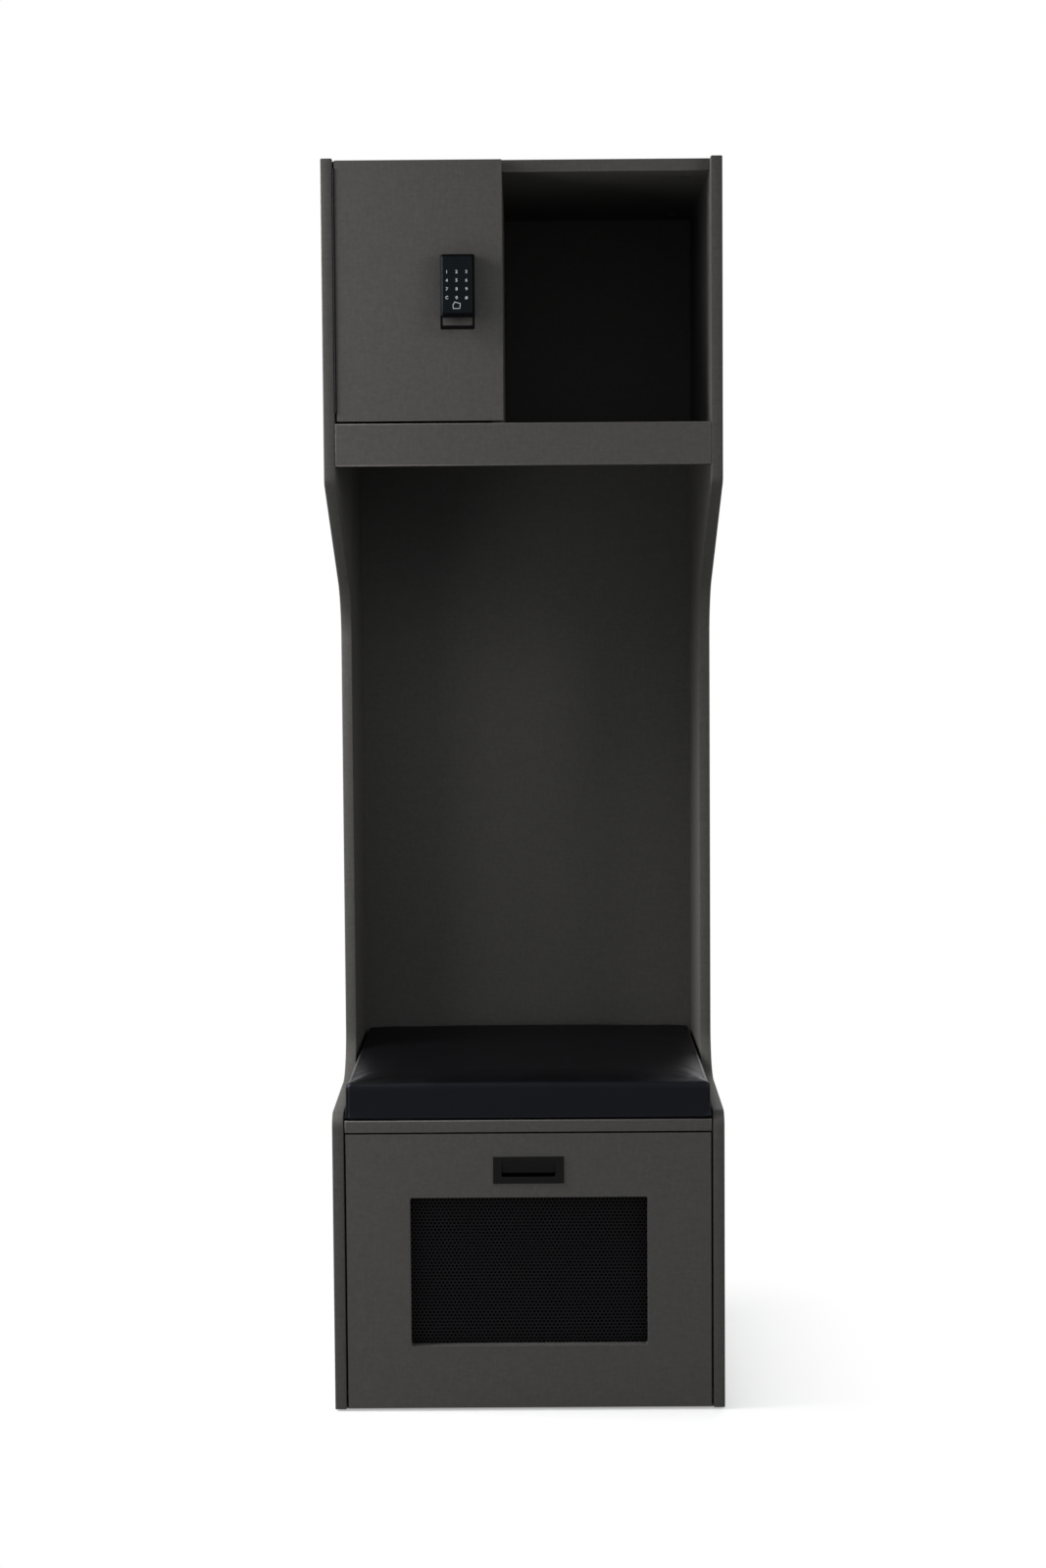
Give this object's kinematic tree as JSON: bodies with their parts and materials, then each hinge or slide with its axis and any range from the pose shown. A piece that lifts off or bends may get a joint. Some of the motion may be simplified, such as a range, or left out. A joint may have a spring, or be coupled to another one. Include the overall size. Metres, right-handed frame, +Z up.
{
  "type": "mudroom locker unit",
  "caption": "Tall waisted mudroom locker with an open hanging bay, a keypad lock-up door beside a cubby, a cushioned seat and a vented pull-out drawer.",
  "frame": {"origin": "middle of the bounding box's footprint, on the floor", "axes": "+Z up; -Y out of the front; +X to the right seen from the front"},
  "size_m": [0.61, 0.608, 1.935],
  "materials": {
    "charcoal_board": "matte charcoal laminate",
    "raw_board": "plain plywood",
    "drawer_board": "matte dark laminate",
    "black_vinyl": "soft-grained vinyl over foam",
    "beech": "plain",
    "zinc_steel": "zinc plated",
    "black_steel": "black powder coat",
    "black_plastic": "fine texture",
    "grey_plastic": "satin",
    "gloss_black": "satin gloss",
    "cell_sleeve": "printed sleeve, plain",
    "circuit_green": "solder mask"
  },
  "bodies": {
    "carcass": {"left_side_panel": "charcoal_board", "right_side_panel": "charcoal_board", "top_panel": "charcoal_board", "cabinet_shelf": "charcoal_board", "cabinet_divider": "charcoal_board", "shelf_valance": "charcoal_board", "cabinet_back": "charcoal_board", "back_panel": "charcoal_board", "rear_top_rail": "charcoal_board", "seat_board": "charcoal_board", "base_panel": "charcoal_board", "left_seat_cleat": "raw_board", "right_seat_cleat": "raw_board", "cushion_base": "raw_board", "seat_cushion": "black_vinyl", "frame_dowels": "beech", "cam_locks": "zinc_steel", "cam_pins": "zinc_steel", "back_panel_screws": "zinc_steel", "cleat_screws": "zinc_steel", "cushion_screws": "zinc_steel", "hinge_pin": "zinc_steel", "strike_plate": "zinc_steel", "strike_screws": "zinc_steel", "left_slide_cabinet_member": "zinc_steel", "right_slide_cabinet_member": "zinc_steel", "slide_cabinet_screws": "zinc_steel", "hinge_panel_leaf": "black_steel", "hinge_panel_screws": "black_steel", "floor_glides": "black_plastic", "cam_cover_caps": "grey_plastic"},
    "door": {"door_panel": "charcoal_board", "hinge_door_leaf": "black_steel", "hinge_door_screws": "black_steel", "lock_housing": "black_plastic", "lock_touch_panel": "gloss_black", "lock_circuit_board": "circuit_green", "lock_pull_loop": "black_plastic", "lock_bolts": "zinc_steel", "lock_rear_case": "black_plastic", "lock_battery_cover": "black_plastic", "lock_batteries": "cell_sleeve", "lock_actuator": "black_plastic"},
    "latch": {"latch_bolt": "zinc_steel"},
    "slide_middles": {"left_slide_middle_member": "zinc_steel", "right_slide_middle_member": "zinc_steel"},
    "drawer": {"drawer_front": "charcoal_board", "drawer_left_side": "drawer_board", "drawer_right_side": "drawer_board", "drawer_back": "drawer_board", "drawer_bottom": "drawer_board", "drawer_dowels": "beech", "vent_mesh": "black_steel", "vent_screws": "zinc_steel", "flush_pull": "black_plastic", "left_slide_drawer_member": "zinc_steel", "right_slide_drawer_member": "zinc_steel", "slide_drawer_screws": "zinc_steel"}
  },
  "joints": [
    {"name": "door_hinge", "type": "hinge", "parent": "carcass", "child": "door", "pos_m": [-0.2853, -0.28, 1.7365], "axis": [0, 0, -1], "range_deg": [0, 105]},
    {"name": "latch_slide", "type": "slide", "parent": "door", "child": "latch", "axis": [1, 0, 0], "range_m": [0, 0.014]},
    {"name": "drawer_slide", "type": "slide", "parent": "carcass", "child": "drawer", "axis": [0, -1, 0], "range_m": [0, 0.45]},
    {"name": "slide_extension", "type": "slide", "parent": "carcass", "child": "slide_middles", "axis": [0, -1, 0], "range_m": [0, 0.225]}
  ],
  "couplings": [
    {"joint": "slide_extension", "follows": "drawer_slide", "ratio": 0.5}
  ]
}
